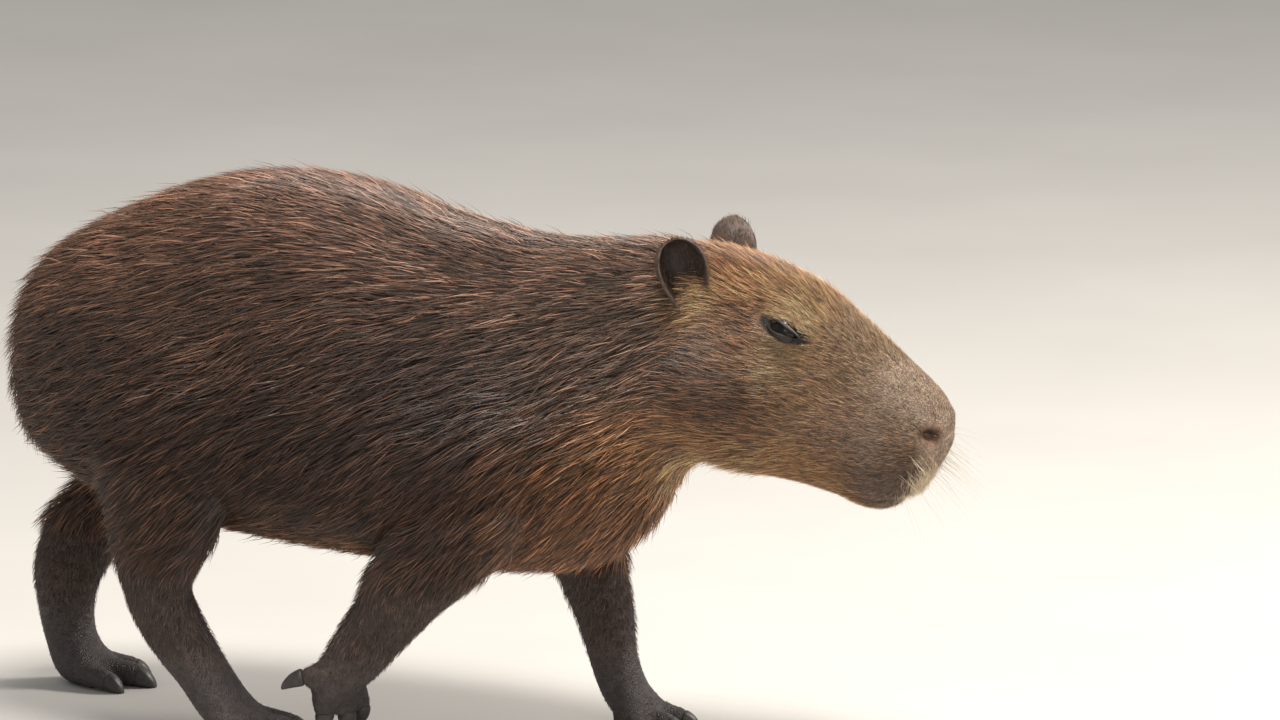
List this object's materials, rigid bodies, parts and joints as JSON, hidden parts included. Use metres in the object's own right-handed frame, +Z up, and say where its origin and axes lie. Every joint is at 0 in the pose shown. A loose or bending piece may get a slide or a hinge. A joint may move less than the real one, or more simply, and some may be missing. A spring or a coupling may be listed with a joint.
{
  "type": "walking capybara model",
  "caption": "Life-size capybara, a young adult in mid-walk with a front paw lifted, as a still museum model in separate solids for head, neck, trunk, limbs, ears, eyes and claws.",
  "frame": {"origin": "on the floor under the middle of the whole animal's box", "axes": "+X from rump to nose, +Y to the animal's left, +Z up"},
  "size_m": [0.8516, 0.2814, 0.463],
  "materials": {
    "coat": "coarse bristly red-brown fur, tan on chest and belly",
    "skin": "bare dark grey skin with fine creases",
    "eye": "wet near-black eye",
    "claw": "blunt dark horn"
  },
  "bodies": {
    "root": {"head": "coat", "left_ear": "skin", "left_eye": "eye", "left_fore_claw_1": "claw", "left_fore_claw_2": "claw", "left_fore_claw_3": "claw", "left_fore_claw_4": "claw", "left_fore_foot": "skin", "left_fore_forearm": "coat", "left_fore_upper_arm": "coat", "left_hind_claw_1": "claw", "left_hind_claw_2": "claw", "left_hind_claw_3": "claw", "left_hind_foot": "skin", "left_hind_shank": "coat", "left_hind_thigh": "coat", "neck": "coat", "right_ear": "skin", "right_eye": "eye", "right_fore_claw_1": "claw", "right_fore_claw_2": "claw", "right_fore_claw_3": "claw", "right_fore_claw_4": "claw", "right_fore_foot": "skin", "right_fore_forearm": "coat", "right_fore_upper_arm": "coat", "right_hind_claw_1": "claw", "right_hind_claw_2": "claw", "right_hind_claw_3": "claw", "right_hind_foot": "skin", "right_hind_shank": "coat", "right_hind_thigh": "coat", "torso": "coat"}
  },
  "joints": []
}
